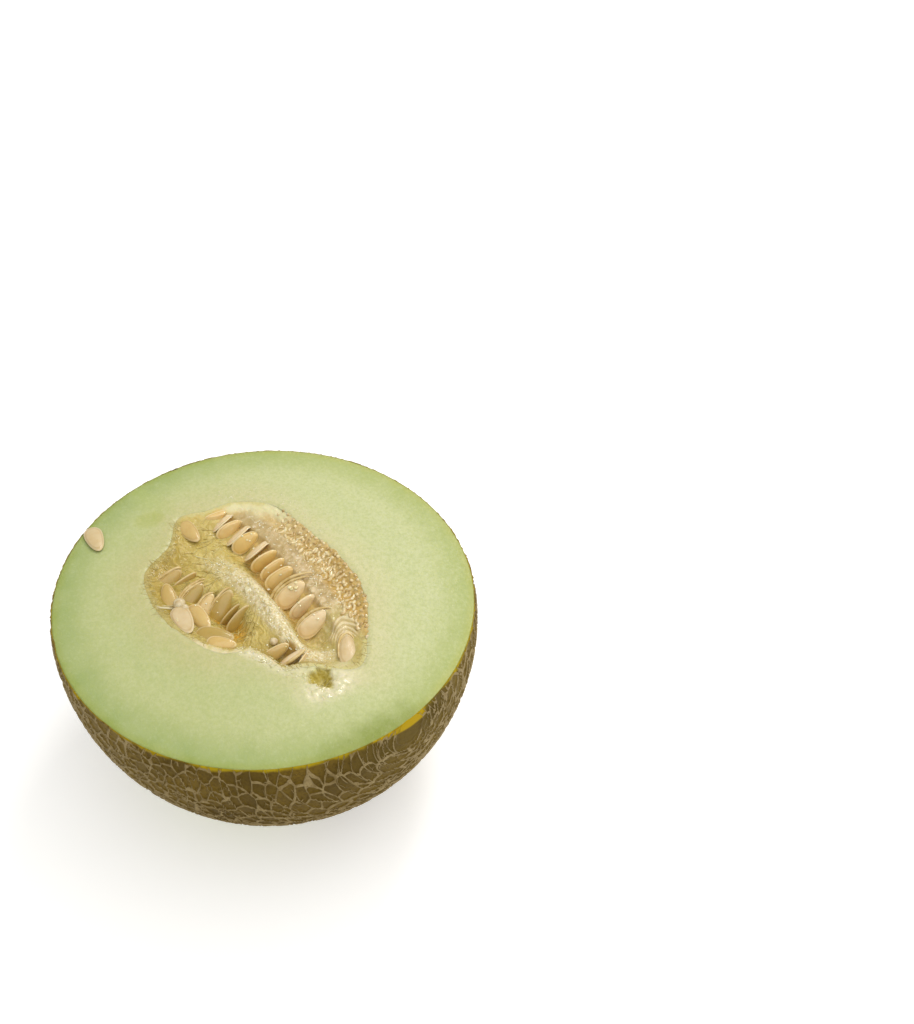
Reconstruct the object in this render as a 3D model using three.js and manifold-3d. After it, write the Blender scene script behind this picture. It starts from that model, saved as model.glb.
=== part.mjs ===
// Half of a galia melon, cut from end to end and lying on its rind with the cut face up.
// Millimetres. +X runs along the fruit from end to end and +Z points up. The origin is the
// middle of the small flat spot that the fruit stands on.
import * as THREE from 'three';
import { mergeVertices } from 'three/addons/utils/BufferGeometryUtils.js';
import Module from 'manifold-3d';

// Driving sizes of the fruit
const lengthRadius = 70.2;       // middle of the fruit to either end
const widthRadius = 65;          // middle of the fruit to either side
const heightRadius = 63.4;       // middle of the fruit to its underside
const cutAboveMiddle = 8.7;      // the knife passed above the middle of the fruit
const restTrim = 1.25;           // height that the flat resting spot takes off the underside

// Driving sizes of the seed hollow and of the small pit torn beside it
const hollowDepth = 36;          // below the cut face
const openAbove = 3;             // the hollow and the pit are cut open this far above the face
const craterPlace = [41.2, -1.5];
const craterRadii = [3.9, 3.3];
const craterDepth = 4.5;

// Driving sizes of the seed pulp
const fillGap = 0.3;             // clearance between the flesh and the seed heart
const fillLevel = 3.2;           // the pulp lies this far below the cut face
const edgeLevel = 0.4;           // and this far below it along the edge of the hollow
const edgeStart = 0.76;          // share of the way out from which it rises to that edge
const strandRise = 2.4;          // the pale strand stands this far above the pulp
const strandHalfWidth = 5.6;
const strandSpan = { middle: 4, half: 34 };
const filmRise = 2.4;            // so does the thin film over the ends of the upper seeds
const filmSpan = { left: [-42, -34], right: [30, 22], near: [1.6, 3.6], far: [15, 9] };

// Driving sizes of the seeds
const seedLength = 12.4;
const seedWidth = 5.7;
const seedThickness = 2;
const seedTaper = 0.26;          // share of its width that a seed loses towards its point

// Driving sizes of the seed tips in the far band of the pulp: round beads in the two rows along
// the edge, and crescents behind them. They get smaller towards the left end of the band.
const tipColumns = 36;
const tipRows = 5;
const beadRows = 2;
const beadRadius = 0.76;
const crescentRadius = 0.66;
const tipShrink = [1.05, 0.75];  // share of its radius that a tip has at either end of the band
const tipAngles = [3, 146];      // the band runs between these directions from the middle
const tipInset = 0.4;            // edge of the hollow to the first row
const tipPitch = 1.75;           // row to row
const beadLength = 0.3;
const crescentLength = 1.5;
const tipGrowth = 0.3;           // crescents get longer by this much from row to row
const tipHeading = 122;
const tipSunk = 0.1;             // share of its radius that a tip lies under the pulp
const bandStart = 8;             // the band begins this far behind the upper row of seeds
const tipFree = { x: 32, y: 10, reach: 7 };    // no tips round the seed at the right end
const tipUneven = {
  column: 0.3, reach: 0.35, size: 0.18, length: 0.5, heading: 34, start: 5,
};

// How finely the surfaces are divided
const fruitSides = 88;
const fruitRings = 14;
const hollowSides = 60;
const wallRings = 7;
const pulpRings = 13;
const craterSides = 14;
const craterRings = 8;
const seedSides = 8;
const seedStations = 4;
const edgeSteps = 720;
const lineSteps = 60;

// The whole numbers that make the repeatable draws
const drawFactor = 1664525;
const drawShift = 1013904223;
const drawRange = 4294967296;

const faceHeight = heightRadius + cutAboveMiddle - restTrim;
const middleHeight = heightRadius - restTrim;

// The edge of the hollow on the cut face, anticlockwise from the right end
const hollowEdge = [
  [35.6, -2.4], [43.5, 9.5], [33, 18], [18, 25], [0, 26], [-17, 22.5], [-33, 18.5],
  [-41.5, 9], [-43, -3], [-44, -11.5], [-33, -19], [-25, -30], [-10, -32.5], [4, -29.5],
  [17, -23], [22, -14.5], [33, -9],
];
const hollowMiddle = new THREE.Vector2(0, -3);

// The lines that the inside follows, seen from above
const upperRowY = alongCurve([[-39.5, 0.4], [-26.5, 4.3], [-10.6, 7], [2, 8], [17, 8.2]]);
const lowerRowY = alongCurve([[-27, -24], [-16, -18.6], [-6, -12.9], [2, -10.5]]);
const strandY = alongCurve([
  [-26, -11], [-17, -7.7], [-6, -3.8], [7.5, -2.1], [19, -2.2], [27, -1], [36, 5],
]);

// Channels in front of the rows of seeds, and pockets in the pulp, with their half sizes. The
// last of them is a mound.
const channels = [
  { line: upperRowY, depth: 5.4, inFront: 3.8, halfWidth: 5.6, middle: 0, halfLength: 44 },
  { line: lowerRowY, depth: 5.5, inFront: 3.5, halfWidth: 6.5, middle: 1, halfLength: 20 },
];
const pockets = [
  { x: -33, y: 10, depth: 0.6, halfLength: 10, halfWidth: 10 },
  { x: 27, y: -6, depth: 4.5, halfLength: 8, halfWidth: 5 },
  { x: 22, y: 5.5, depth: 2.2, halfLength: 8, halfWidth: 7 },
  { x: 30, y: 9, depth: -1.4, halfLength: 7, halfWidth: 7 },
];

// The upper row of seeds stands side by side like cards, with the points up and back. The seeds
// crowd at its left end. Each has its own place, depth, lean about its length and size.
const row = {
  heading: 92, rise: 26, inFront: 0.6, start: 11, uneven: { place: 0.4, heading: 5, rise: 3 },
  seeds: [
    [-39.3, 1.3, 58, 0.74], [-36.2, 1.8, 152, 0.76], [-32.6, 2.4, 66, 0.84],
    [-28.4, 2.5, 148, 0.86], [-24.4, 2.6, 46, 0.9], [-18.6, 2.4, 148, 0.88],
    [-13.6, 3, 78, 0.94], [-8.6, 3.2, 70, 0.9], [-4, 3.2, 54, 0.96],
    [3.8, 3.5, 40, 1.06], [10.8, 3.2, 78, 0.94], [18.4, 3.8, 42, 1],
  ],
};

// The other seeds: the lower row, those that the knife turned over, and the right pocket
const looseSeeds = [
  { x: -20.6, y: -24.2, depth: 3.1, heading: 101, rise: 23, lean: 45, size: 0.84 },
  { x: -18.7, y: -20, depth: 4, heading: 92, rise: 24, lean: 98, size: 0.8 },
  { x: -13, y: -26.9, depth: 2.1, heading: 168, rise: 15, lean: 0, size: 0.86 },
  { x: -11.8, y: -19.8, depth: 4.6, heading: 114, rise: 22, lean: 36, size: 0.82 },
  { x: -5.9, y: -18.2, depth: 5, heading: 120, rise: 30, lean: 30, size: 0.78 },
  { x: -3.6, y: -13.8, depth: 5.6, heading: 117, rise: 36, lean: 32, size: 1.02 },
  { x: -0.2, y: -12.6, depth: 6.8, heading: 92, rise: 45, lean: 100, size: 0.82 },
  { x: 3.4, y: -11.2, depth: 5.9, heading: 106, rise: 35, lean: 70, size: 0.88 },
  { x: -1.2, y: -22.1, depth: 2.9, heading: 10, rise: 1, lean: 16, size: 0.98 },
  { x: -0.9, y: -26.8, depth: 0.9, heading: -1, rise: 2, lean: 4, size: 1.02 },
  { x: 8.4, y: -20.8, depth: 2.7, heading: 53, rise: -4, lean: 14, size: 0.96 },
  { x: 13.2, y: -20.5, depth: 1.7, heading: 54, rise: -3, lean: 22, size: 0.74 },
  { x: -37.6, y: -10.6, depth: 1.5, heading: 9, rise: -2, lean: 8, size: 0.96 },
  { x: 35.2, y: 10.4, depth: 1.9, heading: 158, rise: 6, lean: 6, size: 0.98 },
  { x: 23, y: -7.4, depth: 3.9, heading: 88, rise: 20, lean: 56, size: 0.7 },
  { x: 28, y: -4.6, depth: 2.7, heading: 84, rise: 22, lean: 150, size: 0.72 },
  { x: 30.4, y: -2.2, depth: 2.9, heading: 118, rise: 14, lean: 100, size: 0.6 },
];
const straySeed = {
  x: -47.4, y: -38.4, depth: -0.75, heading: -4, rise: 0, lean: 0, size: 0.98,
};

// Soft beads: seeds that never filled
const paleBeads = [
  { x: -8, y: -25.3, depth: 1, radii: [1.9, 1.9, 1.5] },
  { x: -5.6, y: -24.6, depth: 1.2, radii: [1.4, 1.2, 1.1] },
  { x: 20, y: -6.7, depth: 2.4, radii: [1.3, 1.2, 1.1] },
];

const wasm = await Module();
wasm.setup();

function solidOf(geometry) {
  // A closed solid of a three.js geometry, with shared corners and without empty triangles
  const bare = geometry.clone();
  for (const name of ['normal', 'uv']) {
    bare.deleteAttribute(name);
  }
  const merged = mergeVertices(bare);
  const corners = merged.index.array;
  const kept = [];
  for (let i = 0; i < corners.length; i += 3) {
    const [a, b, c] = corners.slice(i, i + 3);
    if (a !== b && b !== c && c !== a) {
      kept.push(a, b, c);
    }
  }
  return new wasm.Manifold(new wasm.Mesh({
    numProp: 3,
    vertProperties: new Float32Array(merged.attributes.position.array),
    triVerts: new Uint32Array(kept),
  }));
}

function geometryOf(solid) {
  // The three.js geometry of a solid
  const mesh = solid.getMesh();
  const geometry = new THREE.BufferGeometry();
  geometry.setAttribute('position', new THREE.BufferAttribute(mesh.vertProperties, 3));
  geometry.setIndex(new THREE.BufferAttribute(mesh.triVerts, 1));
  geometry.computeVertexNormals();
  return geometry;
}

function draws(start) {
  // Repeatable random numbers from -1 to 1
  let state = start;
  return () => {
    state = (state * drawFactor + drawShift) % drawRange;
    return 2 * state / drawRange - 1;
  };
}

function bell(offset, halfWidth) {
  // 1 at no offset, falling smoothly to 0 at the half width
  const t = Math.min(Math.abs(offset) / halfWidth, 1);
  return (1 - t * t) ** 2;
}

function step(value, [low, high]) {
  // 0 below low and 1 above high, smooth between. It falls where low is the greater.
  const share = THREE.MathUtils.clamp((value - low) / (high - low), 0, 1);
  return THREE.MathUtils.smoothstep(share, 0, 1);
}

function alongCurve(points) {
  // The y of a smooth line through points, for any x
  const curve = new THREE.SplineCurve(points.map(([x, y]) => new THREE.Vector2(x, y)));
  const samples = curve.getPoints(lineSteps);
  return (x) => {
    const after = samples.findIndex((p) => p.x >= x);
    if (after <= 0) {
      return after === 0 ? samples[0].y : samples[samples.length - 1].y;
    }
    const [p, q] = [samples[after - 1], samples[after]];
    return p.y + (q.y - p.y) * (x - p.x) / (q.x - p.x);
  };
}

function hollowOutline(inset, sides) {
  // Points round the edge of the hollow, drawn in towards its middle by the inset
  const corners = hollowEdge.map(([x, y]) => new THREE.Vector3(x, y, 0));
  const curve = new THREE.CatmullRomCurve3(corners, true);
  return curve.getSpacedPoints(sides).slice(0, sides).map((p) => {
    const out = new THREE.Vector2(p.x, p.y).sub(hollowMiddle);
    return out.setLength(out.length() - inset).add(hollowMiddle);
  });
}

const edgeSamples = hollowOutline(0, edgeSteps).map((p) => p.sub(hollowMiddle));

function edgeReach(angle) {
  // The distance from the middle to the edge of the hollow in a direction
  let best = edgeSamples[0];
  for (const p of edgeSamples) {
    if (Math.cos(p.angle() - angle) > Math.cos(best.angle() - angle)) {
      best = p;
    }
  }
  return best.length();
}

function filmShare(x, y) {
  // Where the thin film covers the upper ends of the seeds of the upper row
  const beyond = y - upperRowY(x);
  return step(beyond, filmSpan.near) * step(beyond, filmSpan.far)
    * step(x, filmSpan.left) * step(x, filmSpan.right);
}

function pulpDepth(x, y) {
  // How far the pulp lies below the cut face
  let depth = fillLevel - filmRise * filmShare(x, y);
  for (const channel of channels) {
    depth += channel.depth * bell(y - channel.line(x) + channel.inFront, channel.halfWidth)
      * bell(x - channel.middle, channel.halfLength);
  }
  for (const pocket of pockets) {
    depth += pocket.depth * bell(x - pocket.x, pocket.halfLength)
      * bell(y - pocket.y, pocket.halfWidth);
  }
  depth -= strandRise * bell(y - strandY(x), strandHalfWidth)
    * bell(x - strandSpan.middle, strandSpan.half);
  const out = new THREE.Vector2(x, y).sub(hollowMiddle);
  const nearEdge = step(out.length() / edgeReach(out.angle()), [edgeStart, 1]);
  return THREE.MathUtils.lerp(depth, edgeLevel, nearEdge);
}

function loft(outline, rings) {
  // A closed body whose level rings are the outline at several reaches from its middle. It
  // starts at the lowest middle point and ends at the highest one.
  const profile = rings.map((ring, i) => new THREE.Vector2(ring.reach, i));
  const geometry = new THREE.LatheGeometry(profile, outline.length);
  const place = geometry.attributes.position;
  const spot = new THREE.Vector2();
  for (let k = 0; k < place.count; k += 1) {
    const ring = rings[k % rings.length];
    const side = Math.floor(k / rings.length) % outline.length;
    spot.copy(outline[side]).sub(hollowMiddle).multiplyScalar(ring.reach).add(hollowMiddle);
    place.setXYZ(k, spot.x, spot.y, ring.height(spot.x, spot.y));
  }
  return geometry;
}

function wallOfHollow(floorDepth) {
  // Rings from the floor of the hollow up its rounded wall, ending just below the cut face
  return Array.from({ length: wallRings }, (_, i) => {
    const turn = Math.PI / 2 * i / wallRings;
    const height = faceHeight - floorDepth * Math.cos(turn);
    return { reach: Math.sin(turn), height: () => height };
  });
}

function halfFruit() {
  // The fruit below the knife: its rind is an ellipsoid with a flat resting spot
  const lowest = Math.acos(middleHeight / heightRadius);
  const highest = Math.PI / 2 + Math.asin(cutAboveMiddle / heightRadius);
  const profile = [new THREE.Vector2(0, 0)];
  for (let i = 0; i <= fruitRings; i += 1) {
    const turn = lowest + (highest - lowest) * i / fruitRings;
    const height = middleHeight - heightRadius * Math.cos(turn);
    profile.push(new THREE.Vector2(widthRadius * Math.sin(turn), height));
  }
  profile[1].y = 0;
  profile[profile.length - 1].y = faceHeight;
  profile.push(new THREE.Vector2(0, faceHeight));
  return new THREE.LatheGeometry(profile, fruitSides)
    .rotateX(Math.PI / 2)
    .scale(lengthRadius / widthRadius, 1, 1);
}

function hollow(inset, lift) {
  // The room of the hollow, drawn in by the inset and reaching the lift above the cut face
  const top = faceHeight + lift;
  const rings = [
    ...wallOfHollow(hollowDepth - inset),
    { reach: 1, height: () => faceHeight },
    { reach: 1, height: () => top },
    { reach: 0, height: () => top },
  ];
  const used = rings.filter((_, i) => lift > 0 || i !== rings.length - 2);
  return loft(hollowOutline(inset, hollowSides), used);
}

function crater() {
  // The small pit beside the right end of the hollow
  return new THREE.SphereGeometry(1, craterSides, craterRings)
    .rotateX(Math.PI / 2)
    .scale(...craterRadii, craterDepth)
    .translate(...craterPlace, faceHeight);
}

function seedBlank() {
  // One seed along X, with its point towards +X and its flat sides facing up and down
  const profile = [];
  for (let i = 0; i <= seedStations; i += 1) {
    const turn = Math.PI * i / seedStations;
    const along = -Math.cos(turn);
    const width = Math.sin(turn) * (1 - seedTaper * along);
    profile.push(new THREE.Vector2(i % seedStations === 0 ? 0 : width, along));
  }
  return new THREE.LatheGeometry(profile, seedSides)
    .rotateZ(-Math.PI / 2)
    .scale(seedLength / 2, seedWidth / 2, seedThickness / 2);
}

function seedAt({ x, y, depth, heading, rise, lean, size }) {
  // A seed whose point heads this way seen from above, rises at this angle, and whose flat
  // side leans by this turn about its length, all in degrees
  const turns = [lean, -rise, heading].map(THREE.MathUtils.degToRad);
  const move = new THREE.Matrix4().makeRotationFromEuler(new THREE.Euler(...turns, 'ZYX'));
  move.setPosition(x, y, faceHeight - depth);
  return seedBlank().scale(size, size, size).applyMatrix4(move);
}

function rowOfSeeds({ heading, rise, inFront, start, uneven, seeds }) {
  const draw = draws(start);
  return seeds.map(([x, depth, lean, size]) => seedAt({
    x,
    y: upperRowY(x) - inFront + uneven.place * draw(),
    depth,
    heading: heading + uneven.heading * draw(),
    rise: rise + uneven.rise * draw(),
    lean,
    size,
  }));
}

function seedTips() {
  const draw = draws(tipUneven.start);
  const tips = [];
  for (let k = 0; k < tipRows; k += 1) {
    const round = k < beadRows;
    for (let i = 0; i < tipColumns; i += 1) {
      const share = (i + (k % 2) / 2 + tipUneven.column * draw()) / tipColumns;
      const angle = THREE.MathUtils.degToRad(THREE.MathUtils.lerp(...tipAngles, share));
      const reach = edgeReach(angle) - tipInset - tipPitch * k + tipUneven.reach * draw();
      const x = reach * Math.cos(angle) + hollowMiddle.x;
      const y = reach * Math.sin(angle) + hollowMiddle.y;
      const size = (round ? beadRadius : crescentRadius)
        * THREE.MathUtils.lerp(...tipShrink, share) * (1 + tipUneven.size * draw());
      const length = (round ? beadLength : crescentLength + tipGrowth * k)
        * (1 + tipUneven.length * draw());
      const heading = tipHeading + tipUneven.heading * draw();
      const nearFree = Math.hypot(x - tipFree.x, y - tipFree.y) < tipFree.reach;
      if (nearFree || y - upperRowY(x) < bandStart) {
        continue;
      }
      const Blank = round ? THREE.IcosahedronGeometry : THREE.OctahedronGeometry;
      tips.push(new Blank(1, 0)
        .scale(size + length / 2, size, size)
        .rotateZ(THREE.MathUtils.degToRad(heading))
        .translate(x, y, faceHeight - pulpDepth(x, y) - tipSunk * size));
    }
  }
  return tips;
}

function softBead({ x, y, depth, radii }) {
  return new THREE.IcosahedronGeometry(1, 1).scale(...radii).translate(x, y, faceHeight - depth);
}

function pulpCore() {
  // The seed pulp: it fills the hollow from its floor up to its uneven top
  const rings = wallOfHollow(hollowDepth - fillGap);
  const top = (x, y) => faceHeight - pulpDepth(x, y);
  for (let i = 0; i <= pulpRings; i += 1) {
    rings.push({ reach: 1 - i / pulpRings, height: top });
  }
  return loft(hollowOutline(fillGap, hollowSides), rings);
}

function fuse(first, others) {
  return others.reduce((sum, geometry) => sum.add(solidOf(geometry)), solidOf(first));
}

function named(name, solid, look) {
  const mesh = new THREE.Mesh(geometryOf(solid), new THREE.MeshStandardMaterial(look));
  mesh.name = name;
  return mesh;
}

// The flesh and its rind are one piece, with the stray seed that sticks to the cut face
const flesh = solidOf(halfFruit())
  .subtract(solidOf(hollow(0, openAbove)))
  .subtract(solidOf(crater()))
  .add(solidOf(seedAt(straySeed)));

// The heart is the wet pulp with its seeds, and it stops short of the flesh all round
const inside = [...rowOfSeeds(row), ...looseSeeds.map(seedAt), ...paleBeads.map(softBead),
  ...seedTips()];
const heart = fuse(pulpCore(), inside).intersect(solidOf(hollow(fillGap, 0)));

const group = new THREE.Group();
group.add(named('melon_flesh', flesh, { color: 0xc4d193, roughness: 0.42, metalness: 0 }));
group.add(named('seed_heart', heart, { color: 0xc9ad6b, roughness: 0.35, metalness: 0 }));

export default group;
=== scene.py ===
# Half of a galia melon, cut from end to end and lying on its rind with the cut face up.
# Metres. +X runs along the fruit from end to end, and the fruit stands on z = 0.
import math
import random

import bmesh
import bpy
import numpy as np
from mathutils import Euler, Matrix, Vector
from mathutils.bvhtree import BVHTree


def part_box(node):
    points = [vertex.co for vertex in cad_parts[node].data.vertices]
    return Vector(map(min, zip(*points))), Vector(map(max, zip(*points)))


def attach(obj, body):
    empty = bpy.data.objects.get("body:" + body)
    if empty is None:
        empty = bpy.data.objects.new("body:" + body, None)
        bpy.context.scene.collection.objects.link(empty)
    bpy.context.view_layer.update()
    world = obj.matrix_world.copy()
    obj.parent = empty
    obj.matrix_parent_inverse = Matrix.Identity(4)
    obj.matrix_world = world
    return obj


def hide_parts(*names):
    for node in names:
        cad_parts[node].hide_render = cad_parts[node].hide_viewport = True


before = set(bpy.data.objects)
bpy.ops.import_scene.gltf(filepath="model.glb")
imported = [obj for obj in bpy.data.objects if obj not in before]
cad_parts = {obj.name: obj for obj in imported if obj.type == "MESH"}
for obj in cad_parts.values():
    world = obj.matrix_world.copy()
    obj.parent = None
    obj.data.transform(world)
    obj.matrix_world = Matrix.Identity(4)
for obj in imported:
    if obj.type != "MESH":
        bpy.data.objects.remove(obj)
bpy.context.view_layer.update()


# The studio: a pale lit floor, a large soft box above, a smaller one behind that draws the wet
# highlights, and a camera that looks down on the cut face from the photograph's side.
mm = 0.001
face_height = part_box("seed_heart")[1][2]
camera_from_face = Vector((222.17, -74.17, 237.23)) * mm
camera_turns = (56.9, 47.94, 1.16)
camera_lens = 36.91
floor_colour = (247, 247, 246)
sky_colour = (240, 240, 239)
sky_strength = 0.55
floor_glow = 0.3


def paint(red, green, blue):
    """The linear colour of a screen colour from 0 to 255."""
    parts = [c / 255 for c in (red, green, blue)]
    return tuple(c / 12.92 if c < 0.04045 else ((c + 0.055) / 1.055) ** 2.4 for c in parts) + (1,)


class Wire:
    """One output of a node. Sums and products on it add Math nodes to its tree."""

    def __init__(self, tree, socket=None):
        self.tree = tree
        self.socket = socket

    def node(self, kind, settings=None, sockets=None, output=0):
        """Adds any node: its settings first, then the values or the wires of its sockets."""
        made = self.tree.nodes.new(kind)
        for key, value in (settings or {}).items():
            setattr(made, key, value)
        for key, value in (sockets or {}).items():
            if isinstance(value, Wire):
                self.tree.links.new(value.socket, made.inputs[key])
            else:
                made.inputs[key].default_value = value
        return Wire(self.tree, made.outputs[output] if made.outputs else None)

    def math(self, operation, *others):
        return self.node("ShaderNodeMath", {"operation": operation},
                         dict(enumerate((self, *others))))

    def __add__(self, other):
        return self.math("ADD", other)

    def __sub__(self, other):
        return self.math("SUBTRACT", other)

    def __mul__(self, other):
        return self.math("MULTIPLY", other)

    def __truediv__(self, other):
        return self.math("DIVIDE", other)

    def __rsub__(self, other):
        return self.node("ShaderNodeMath", {"operation": "SUBTRACT"}, {0: other, 1: self})

    __radd__ = __add__
    __rmul__ = __mul__

    def rise(self, low, high):
        """0 below low and 1 above high, smooth between. It falls where low is the greater."""
        return self.node("ShaderNodeMapRange", {"interpolation_type": "SMOOTHSTEP"},
                         {"Value": self, "From Min": low, "From Max": high})

    def mix(self, first, second):
        """A colour between two, wires or screen colours, with this wire as the factor."""
        first, second = (c if isinstance(c, Wire) else paint(*c) for c in (first, second))
        return self.node("ShaderNodeMix", {"data_type": "RGBA"}, {0: self, 6: first, 7: second}, 2)

    def vector(self, operation, *others):
        return self.node("ShaderNodeVectorMath", {"operation": operation},
                         dict(enumerate((self, *others))))

    def scaled(self, factor):
        return self.node("ShaderNodeVectorMath", {"operation": "SCALE"},
                         {0: self, "Scale": factor})

    def length(self):
        return self.node("ShaderNodeVectorMath", {"operation": "LENGTH"}, {0: self}, "Value")

    def parts(self):
        """The three numbers of a vector."""
        split = self.node("ShaderNodeSeparateXYZ", None, {0: self}).socket.node
        return [Wire(self.tree, out) for out in split.outputs]

    def noise(self, size, detail=2, rough=0.5):
        """Cloudy noise over a place in millimetres, about 0.5, with lumps of this size."""
        return self.node("ShaderNodeTexNoise", None, {
            "Vector": self, "Scale": 1 / size, "Detail": detail, "Roughness": rough})

    def swirl(self, scale, detail=2):
        """Three noises at once, as a vector that wanders about a half in each direction."""
        return self.node("ShaderNodeTexNoise", None, {
            "Vector": self, "Scale": scale, "Detail": detail}, "Color")

    def into(self, target, name):
        self.tree.links.new(self.socket, target.inputs[name])


def new_material(name, **sockets):
    """A material, its shader with these constant values, and the object's place in millimetres."""
    made = bpy.data.materials.new(name)
    made.use_nodes = True
    shader = made.node_tree.nodes["Principled BSDF"]
    for key, value in sockets.items():
        shader.inputs[key.replace("_", " ")].default_value = value
    place = Wire(made.node_tree).node("ShaderNodeTexCoord", output="Object")
    return made, shader, place.scaled(1 / mm)


def bump(height, depth, shader, strength=1.0):
    """Lets a height from 0 to 1 tilt the shader's normal, as a relief this deep would."""
    height.node("ShaderNodeBump", None, {
        "Height": height, "Distance": depth, "Strength": strength}).into(shader, "Normal")


def coated(tone, *coats):
    """A colour with others laid over it in turn, each as far as its own mask lets it show."""
    for mask, colour in coats:
        tone = mask.mix(tone, colour)
    return tone


def new_object(name, mesh, material=None):
    """Shows a mesh as an object at the origin."""
    made = bpy.data.objects.new(name, mesh)
    bpy.context.scene.collection.objects.link(made)
    if material:
        mesh.materials.append(material)
    return made


def mesh_of(bm, name):
    """Turns a bmesh into a smooth shaded mesh."""
    mesh = bpy.data.meshes.new(name)
    bm.to_mesh(mesh)
    bm.free()
    mesh.shade_smooth()
    return mesh


def soft_box(name, place, size, watts, colour):
    """A square area light that faces the middle of the cut face."""
    light = bpy.data.lights.new(name, "AREA")
    light.size = size
    light.energy = watts
    light.color = colour
    lamp = bpy.data.objects.new(name, light)
    lamp.location = place
    aim = Vector((0, 0, face_height)) - lamp.location
    lamp.rotation_euler = aim.to_track_quat("-Z", "Y").to_euler()
    bpy.context.scene.collection.objects.link(lamp)


camera = bpy.data.objects.new("camera", bpy.data.cameras.new("camera"))
camera.data.lens = camera_lens
camera.data.sensor_width = 36
turn, tilt, roll = [math.radians(angle) for angle in camera_turns]
camera.matrix_world = (
    Matrix.Translation(camera_from_face + Vector((0, 0, face_height)))
    @ Matrix.Rotation(turn, 4, "Z") @ Matrix.Rotation(tilt, 4, "X") @ Matrix.Rotation(roll, 4, "Z")
)
bpy.context.scene.collection.objects.link(camera)
bpy.context.scene.camera = camera
bpy.context.scene.view_settings.view_transform = "Standard"

world = bpy.data.worlds.new("studio")
world.use_nodes = True
world.node_tree.nodes["Background"].inputs["Color"].default_value = paint(*sky_colour)
world.node_tree.nodes["Background"].inputs["Strength"].default_value = sky_strength
bpy.context.scene.world = world
soft_box("soft_box_above", (0.75, 0.2, 1.8), 2.4, 27, (1.0, 0.985, 0.955))
soft_box("soft_box_behind", (-0.35, 0.55, 0.85), 0.3, 3.4, (1.0, 0.98, 0.95))

floor_bm = bmesh.new()
bmesh.ops.create_grid(floor_bm, x_segments=1, y_segments=1, size=4)
floor_paint, floor_shader, floor_place = new_material(
    "pale_floor", Roughness=0.9, Emission_Color=(1, 1, 1, 1), Emission_Strength=floor_glow)
floor_shade = [c - 2 for c in floor_colour]
floor_place.noise(900).rise(0.2, 0.8).mix(floor_colour, floor_shade).into(floor_shader, "Base Color")
new_object("floor", mesh_of(floor_bm, "floor"), floor_paint)


# The rind: a thin skin, yellow gold of its own, over the whole outside of the fruit, with a raised net
# of dry cork that grew over its cracks. The knife shows it as a thin yellow line round the face.
# Below a band of its own yellow at the knife, skin and cork are painted dark olive brown as painted
# shade of the fruit's sides.
cut_above_middle = 8.7 * mm
rest_trim = 1.25 * mm
flesh_low, flesh_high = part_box("melon_flesh")
fruit_radii = Vector((
    (flesh_high[0] - flesh_low[0]) / 2,
    (flesh_high[1] - flesh_low[1]) / 2,
    face_height - cut_above_middle + rest_trim,
))
fruit_middle = Vector((0, 0, fruit_radii.z - rest_trim))
skin_depth = 0.75 * mm
net_rise = 0.6 * mm
cut_skin = 0.45 * mm
rim_share = math.sqrt(1 - (cut_above_middle / fruit_radii.z) ** 2)
blossom_end = Vector((67.5, 13, face_height / mm - 3.5)) * mm
net_radius = 66
net_squeeze = 0.5
net_wobble = 3.0
net_cells = (4.9, 3.3)
net_widths = (0.36, 0.24)
net_probe = 1.2


def ridges(place, off, cell, width):
    """Rounded ridges along the borders of uneven cells, 1 on their tops. A border that lies
    nearly flat under the surface would show as a patch, so its width is cut by its slope."""
    far, *probes = [
        at.node("ShaderNodeTexVoronoi", {"feature": "DISTANCE_TO_EDGE"}, {
            "Vector": at, "Scale": 1 / cell}) * cell
        for at in (place, place.vector("ADD", off), place.vector("SUBTRACT", off))]
    lean = [((probe - far) / net_probe).math("ABSOLUTE") for probe in probes]
    lean = lean[0].math("MAXIMUM", lean[1])
    upright = (1.02 - lean * lean).math("MAXIMUM", 0.02).math("SQRT")
    return (far / upright / width).rise(1.15, 0.2)


def end_share(place):
    """How near a place on the fruit is to either end of its stalk line: 1 at the ends."""
    ball = place.vector("SUBTRACT", fruit_middle / mm).vector("DIVIDE", fruit_radii / mm)
    ball = ball.vector("NORMALIZE")
    line = (blossom_end - fruit_middle).normalized()
    along = ball.node("ShaderNodeVectorMath", {"operation": "DOT_PRODUCT"},
                      {0: ball, 1: line}, "Value")
    return ball, line, along


def net_height(place):
    """The height of the net from 0 to 1 at a place on the fruit, in millimetres. Towards the
    two ends of the fruit its meshes are drawn out into rings round them."""
    ball, line, along = end_share(place)
    on_line = along.node("ShaderNodeVectorMath", {"operation": "SCALE"}, {0: line, "Scale": along})
    aside = ball.vector("SUBTRACT", on_line)
    squeeze = 1 - along.math("ABSOLUTE").rise(0.35, 0.95) * net_squeeze
    turn = along.math("ARCSINE")
    climb = along.node("ShaderNodeVectorMath", {"operation": "SCALE"}, {
        0: line, "Scale": turn + turn.math("POWER", 7) * 0.02})
    laid = aside.scaled(squeeze).vector("ADD", climb).scaled(net_radius)
    off = aside.vector("NORMALIZE").vector("ADD", on_line.scaled(0.5))
    off = off.vector("NORMALIZE").scaled(net_probe)
    shift = laid.swirl(1 / 8, 1).vector("SUBTRACT", (0.5, 0.5, 0.5))
    bent = laid.vector("ADD", shift.scaled(net_wobble))
    coarse = ridges(bent, off, net_cells[0], (0.6 + laid.noise(12)) * net_widths[0])
    broken = laid.vector("ADD", (40, 0, 0)).noise(6).rise(0.53, 0.62) + 0.02
    fine = ridges(bent.vector("ADD", (90, 20, 0)), off, net_cells[1], broken * net_widths[1])
    bare_end = along.rise(0.9996, 0.9935)
    below_knife = place.parts()[2].rise(face_height / mm - 0.1, face_height / mm - 0.8)
    return coarse.math("MAXIMUM", fine * 0.8) * (0.35 + below_knife * 0.65) * bare_end


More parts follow.
